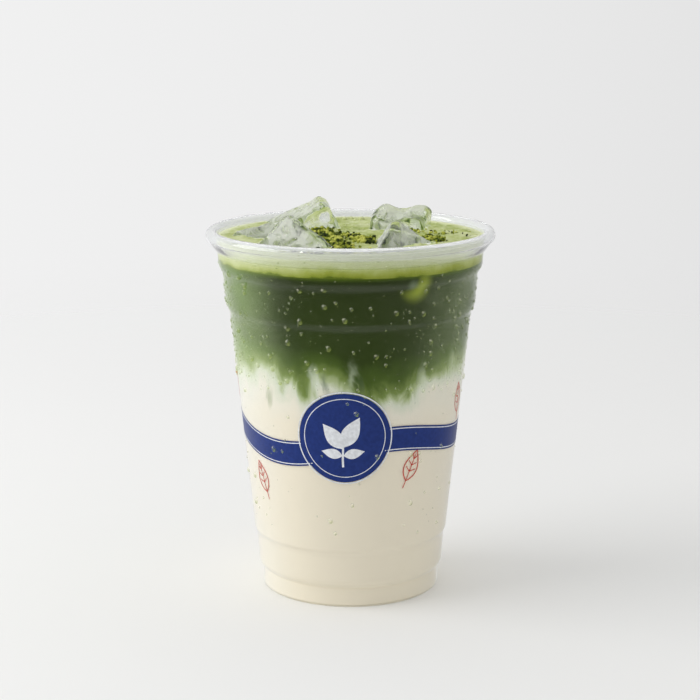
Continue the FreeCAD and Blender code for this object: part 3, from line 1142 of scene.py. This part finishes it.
def water():
    made, tree, place = new_material("Water")
    shine = add(tree, "ShaderNodeAttribute", attribute_name="shine")
    parts = add(tree, "ShaderNodeSeparateColor", {0: shine.outputs["Color"]})
    clear = add(tree, "ShaderNodeBsdfPrincipled",
                {"Base Color": (1, 1, 1, 1), "Roughness": 0.02, "IOR": 1.33, "Transmission Weight": 1.0})
    gathered = matte(tree, "#A9BC4C")
    glow = calc(tree, "MULTIPLY", parts.outputs[0], 0.5)
    mixed = blend(tree, glow, clear, gathered)
    window = matte(tree, "#F6F8D0")
    glint = calc(tree, "MULTIPLY", parts.outputs[1], 0.35)
    mixed = blend(tree, glint, mixed, window)
    output(tree, let_lamps_through(tree, mixed))
    return made


finish_piece(drops, water())

# %% [markdown]
# ## Print
# The cup is printed with a navy band that waves round it, a round navy badge with a sprig
# of two leaves, and small red leaf outlines. Each shape is modelled flat, at true size, with
# a hair of thickness, and then wrapped: its width becomes an angle round the wall.

# %% Helpers for print
INK = 0.05
WRAP_RADIUS = 37.3


def wrap(item, turn, height, lift=0.0):
    """Wraps a flat shape, drawn in X and Z with its thickness in Y, on to the wall."""
    settle(item)
    for vertex in item.data.vertices:
        up = height + vertex.co.z / MM
        angle = math.radians(turn) + vertex.co.x / MM / WRAP_RADIUS
        radius = radius_at(OUTER, up) - vertex.co.y / MM + lift
        vertex.co = Vector((radius * math.sin(angle), -radius * math.cos(angle), up)) * MM
    face_outwards(item)


def give_ink(item):
    """Settles a flat shape and gives it the thickness of ink."""
    settle(item)
    modify(item, "SOLIDIFY", thickness=INK * MM, offset=0)
    apply_modifiers(item)


def flat_disc(name, outer, inner=0.0):
    """A disc, or a ring, in X and Z, with rings close enough to follow the wall."""
    start = inner if inner else POLE
    disc = lathe(name, [(start, 0)] + straight((start, 0), (outer, 0), 1.4), 72)
    if not inner:
        close_pole(disc, 0, POLE)
    disc.rotation_euler = (math.pi / 2, 0, 0)
    give_ink(disc)
    return disc


def flat_leaf(name, length, width, turn, across, up):
    """A pointed leaf: a grid whose width swells and closes again along its length."""
    deselect()
    bpy.ops.mesh.primitive_grid_add(x_subdivisions=20, y_subdivisions=6, size=MM)
    leaf = bpy.context.object
    leaf.name = name
    for vertex in leaf.data.vertices:
        along = vertex.co.x / MM + 0.5
        swell = math.sin(math.pi * min(0.985, max(0.015, along)) ** 0.8)
        vertex.co = Vector((along * length, vertex.co.y / MM * width * swell, 0)) * MM
    leaf.rotation_euler = (math.pi / 2, 0, 0)
    settle(leaf)
    leaf.rotation_euler = (0, -math.radians(turn), 0)
    leaf.location = (across * MM, 0, up * MM)
    give_ink(leaf)
    return leaf


def stroke(name, points, width, closed=False):
    """A line of ink along points in X and Z."""
    deselect()
    curve = bpy.data.curves.new(name, "CURVE")
    curve.dimensions = "3D"
    curve.bevel_depth = width / 2 * MM
    curve.bevel_resolution = 1
    line = curve.splines.new("POLY")
    line.points.add(len(points) - 1)
    for point, (x, z) in zip(line.points, points):
        point.co = (x * MM, 0, z * MM, 1)
    line.use_cyclic_u = closed
    curve.use_fill_caps = not closed
    item = bpy.data.objects.new(name, curve)
    bpy.context.scene.collection.objects.link(item)
    pick(item)
    bpy.ops.object.convert(target="MESH")
    item = bpy.context.object
    edit_whole(item, bpy.ops.transform.resize, value=(1, INK / width, 1), center_override=(0, 0, 0))
    return item


def ink_material(name, code):
    made, tree, place = new_material(name)
    worn = cloud(tree, place, 900.0, 1.0)
    tone = remap(tree, worn, (0.3, 0.7), (0.9, 1.1))
    colour = add(tree, "ShaderNodeVectorMath", {0: linear(code)[:3], "Scale": tone}, operation="SCALE")
    skin = add(tree, "ShaderNodeBsdfPrincipled",
               {"Base Color": colour, "Roughness": 0.35, "IOR": 1.45, "Specular IOR Level": 0.3})
    output(tree, skin)
    return made


# %% [markdown]
# ## The band and the badge
# The band is a ring of quads moved up and down by a slow wave, with a thin white line in
# from each edge. The badge is a wrapped disc over it, with a white ring and a sprig. Each
# layer of ink lies a few hundredths of a millimetre over the last, so that none flickers.

# %% Model the navy band and the badge
BAND_HEIGHT = 57.5
BAND_TALL = 8.6
BAND_SWAY = 3.4
BADGE_TURN = -3.0
BADGE_HEIGHT = 60.5
BADGE_RADIUS = 16.6


def band_middle(turn):
    """The band's height over its mean, at an angle round the cup."""
    angle = math.radians(turn)
    return BAND_SWAY * (math.sin(3 * angle + 0.5) * 0.8 + 0.35 * math.sin(angle - 1.0))


def wavy_strip(name, low, high, lift):
    """A strip round the whole cup between two heights over the band's middle."""
    steps = 240
    deselect()
    bpy.ops.mesh.primitive_circle_add(vertices=steps, radius=WRAP_RADIUS * MM)
    strip = bpy.context.object
    strip.name = name
    bpy.ops.object.mode_set(mode="EDIT")
    bpy.ops.mesh.select_all(action="SELECT")
    rows = max(1, round((high - low) / 2))
    for _ in range(rows):
        bpy.ops.mesh.extrude_region_move(TRANSFORM_OT_translate={"value": (0, 0, (high - low) / rows * MM)})
    bpy.ops.object.mode_set(mode="OBJECT")
    for vertex in strip.data.vertices:
        turn = math.degrees(math.atan2(vertex.co.x, -vertex.co.y))
        height = BAND_HEIGHT + band_middle(turn) + low + vertex.co.z / MM
        vertex.co = around_wall(radius_at(OUTER, height) + lift, turn, height)
    face_outwards(strip)
    if not faces_out_from_axis(strip):
        strip.data.flip_normals()
    give_ink(strip)
    return strip


NAVY_LIFT = 0.01
WHITE_LIFT = 0.03
BADGE_LIFT = 0.05
SPRIG_LIFT = 0.07
navy_band = wavy_strip("navy_band", -BAND_TALL / 2, BAND_TALL / 2, NAVY_LIFT)
badge = flat_disc("badge", BADGE_RADIUS)
wrap(badge, BADGE_TURN, BADGE_HEIGHT, BADGE_LIFT)
navy = join("print_navy", [navy_band, badge])
smooth(navy, 30)
finish_piece(navy, ink_material("NavyInk", "#22377A"))

edge_low = wavy_strip("edge_low", -BAND_TALL / 2 + 0.55, -BAND_TALL / 2 + 0.85, WHITE_LIFT)
edge_high = wavy_strip("edge_high", BAND_TALL / 2 - 0.85, BAND_TALL / 2 - 0.55, WHITE_LIFT)
ring = flat_disc("ring", BADGE_RADIUS - 0.7, BADGE_RADIUS - 1.1)
inner_ring = flat_disc("inner_ring", BADGE_RADIUS - 3.0, BADGE_RADIUS - 3.25)
LEAVES = [
    (11.5, 5.6, 62, -0.5, -3.0),
    (10.5, 5.2, 128, -0.5, -3.5),
    (7.0, 3.4, 12, -0.2, -6.0),
    (7.0, 3.4, 168, -0.8, -6.0),
]
sprig = [flat_leaf("leaf", *leaf) for leaf in LEAVES]
stem = stroke("stem", [(-0.5, -10.0), (-0.6, -7.5), (-0.5, -5.0), (-0.5, -2.5)], 0.8)
for item in [ring, inner_ring, stem] + sprig:
    wrap(item, BADGE_TURN, BADGE_HEIGHT, SPRIG_LIFT)
white = join("print_white", [edge_low, edge_high, ring, inner_ring, stem] + sprig)
smooth(white, 30)
finish_piece(white, ink_material("WhiteInk", "#E3E6EA"))

# %% [markdown]
# ## The red leaves
# Small leaves in red line are scattered above and below the band, each turned its own way.
# A leaf is its outline, a midrib and three pairs of veins, drawn as lines of ink.

# %% Model the red leaf outlines
# Degrees round from the front, height, and lean.
RED_MOTIFS = [(34, 49.5, 68), (-56, 43.0, 110), (-88, 70.5, 75), (72, 68.5, 100),
              (112, 46.5, 80), (150, 70.0, 95), (-132, 46.0, 70), (-168, 69.5, 105)]


def leaf_outline(length, width, lean):
    """The outline of a leaf, its midrib and side veins, each as a line of points."""
    cos, sin = math.cos(math.radians(lean)), math.sin(math.radians(lean))

    def place(along, off):
        along = along - length / 2
        return (along * cos - off * sin, along * sin + off * cos)

    def half_width(share):
        return width / 2 * math.sin(math.pi * share ** 0.8)

    upper = [place(length * step / 16, half_width(step / 16)) for step in range(17)]
    lower = [place(length * step / 16, -half_width(step / 16)) for step in range(15, 0, -1)]
    rib = [place(length * step / 8, 0) for step in range(-2, 8)]
    veins = []
    for share in (0.3, 0.5, 0.7):
        tip = share + 0.12
        for side in (0.72, -0.72):
            veins.append([place(length * share, 0), place(length * tip, half_width(tip) * side)])
    return upper + lower, [rib] + veins


red_lines = []
for turn, height, lean in RED_MOTIFS:
    outline, lines = leaf_outline(11.0, 5.6, lean)
    parts = [stroke("outline", outline, 0.42, closed=True)] + [stroke("vein", line, 0.32) for line in lines]
    for part in parts:
        wrap(part, turn, height, NAVY_LIFT)
    red_lines += parts
red = join("print_red", red_lines)
finish_piece(red, ink_material("RedInk", "#C8402F"))

# %% [markdown]
# ## The studio
# Pale floor and pale surroundings, with one large soft lamp at the left. Clear things show
# what surrounds them, so the surroundings are bright at the sides and behind, and darker in
# front, as in a studio where the camera stands in a gap between two white panels.

# %% Floor
FLOOR_RADIUS = 1.6
bpy.ops.mesh.primitive_circle_add(vertices=96, radius=FLOOR_RADIUS, location=(0, 0, 0), fill_type="NGON")
floor = bpy.context.object
floor.name = "floor"
floor.visible_glossy = False


def pale_floor():
    made, tree, place = new_material("PaleFloor")
    away = length_of(tree, place)
    fade = remap(tree, away, (0.12, 0.75), smooth=True)
    skin = matte(tree, "#EFEFEE")
    gone = add(tree, "ShaderNodeBsdfTransparent")
    mixed = blend(tree, fade, skin, gone)
    output(tree, mixed)
    return made


floor.data.materials.append(pale_floor())

# %% [markdown]
# ## What the gloss shows
# The world is a room of plain panels, with one level for each kind of ray: gloss shows the
# panels, clear things show a soft wall that is darker in front, and matt things are lit by
# both sides. What the camera sees directly is only the pale backdrop.

# %% Surroundings
# Brightness by azimuth from straight in front, in degrees, positive to the right.
GLOSS_PANELS = [(-180, 0.6), (-140, 0.65), (-115, 0.62), (-95, 0.42), (-72, 0.22), (-54, 0.07), (-35, 0.02),
                (22, 0.02), (40, 0.06), (65, 0.1), (110, 0.18), (150, 0.4), (180, 0.6)]
GLOSS_LEVEL = 1.3
FRONT_LIGHT = 0.62
SIDE_LIGHT = 0.88


def surroundings():
    world = bpy.data.worlds.new("Studio")
    bpy.context.scene.world = world
    world.use_nodes = True
    tree = world.node_tree
    tree.nodes.clear()
    way = add(tree, "ShaderNodeSeparateXYZ", {0: add(tree, "ShaderNodeTexCoord").outputs["Generated"]})
    path = add(tree, "ShaderNodeLightPath")
    front = calc(tree, "MULTIPLY", way.outputs["Y"], -1.0)
    turn = calc(tree, "ARCTAN2", way.outputs["X"], front)
    share = remap(tree, turn, (-math.pi, math.pi))
    panels = ramp(tree, share, [((angle + 180) / 360, (level, level, level, 1))
                                for angle, level in GLOSS_PANELS])
    overhead = remap(tree, way.outputs["Z"], (0.3, 0.65), smooth=True)
    gloss = calc(tree, "MULTIPLY", panels, GLOSS_LEVEL)
    underneath = remap(tree, way.outputs["Z"], (-0.66, -0.82), smooth=True)
    gloss = mix_value(tree, overhead, gloss, 1.1)
    gloss = mix_value(tree, underneath, gloss, 0.4)
    lit = remap(tree, front, (-0.2, 0.8), (SIDE_LIGHT, FRONT_LIGHT))
    through = remap(tree, front, (0.0, 0.6), (0.88, 0.6))
    skylight = remap(tree, way.outputs["Z"], (0.35, 0.8), (0.0, 1.0))
    through = mix_value(tree, skylight, through, 1.15)
    light = mix_value(tree, path.outputs["Is Glossy Ray"], lit, gloss)
    light = mix_value(tree, path.outputs["Is Transmission Ray"], light, through)
    # Painted light: the backdrop is lighter at the left, toward the lamp, and darker at the right.
    backdrop_lit_left = ramp(tree, remap(tree, way.outputs["X"], (-0.2, 0.2)),
                    [(0.0, "#F1F1F1"), (0.5, "#ECECEC"), (1.0, "#E4E4E4")])
    plain = add(tree, "ShaderNodeBackground", {"Color": (1.0, 1.0, 1.0, 1), "Strength": light})
    shown = add(tree, "ShaderNodeBackground", {"Color": backdrop_lit_left})
    mixed = blend(tree, path.outputs["Is Camera Ray"], plain, shown)
    add(tree, "ShaderNodeOutputWorld", {"Surface": mixed})


surroundings()

# %% [markdown]
# ## Lamps
# A large softbox at the left shapes the cup and gives its soft shadow to the right. A very
# small lamp adds only glints, on the rim and in the drops.

# %% Lamps
def soft_lamp(name, place, target, width, height, radiance):
    """An area lamp whose face has the given radiance: power is radiance, area and pi."""
    bpy.ops.object.light_add(type="AREA", location=place)
    lamp = bpy.context.object
    lamp.name = name
    lamp.data.shape = "RECTANGLE"
    lamp.data.size = width
    lamp.data.size_y = height
    lamp.data.energy = radiance * math.pi * width * height
    lamp.rotation_euler = (Vector(target) - Vector(place)).to_track_quat("-Z", "Y").to_euler()
    lamp.visible_camera = False
    return lamp


soft_lamp("left_softbox", (-0.95, -0.15, 0.55), (0, 0, 0.06), 0.9, 0.8, 2.65)
sparkle = soft_lamp("small_lamp", (-0.45, -0.5, 0.62), (0, 0, 0.1), 0.06, 0.06, 60)
sparkle.visible_diffuse = False

bpy.context.scene.view_settings.view_transform = "Standard"
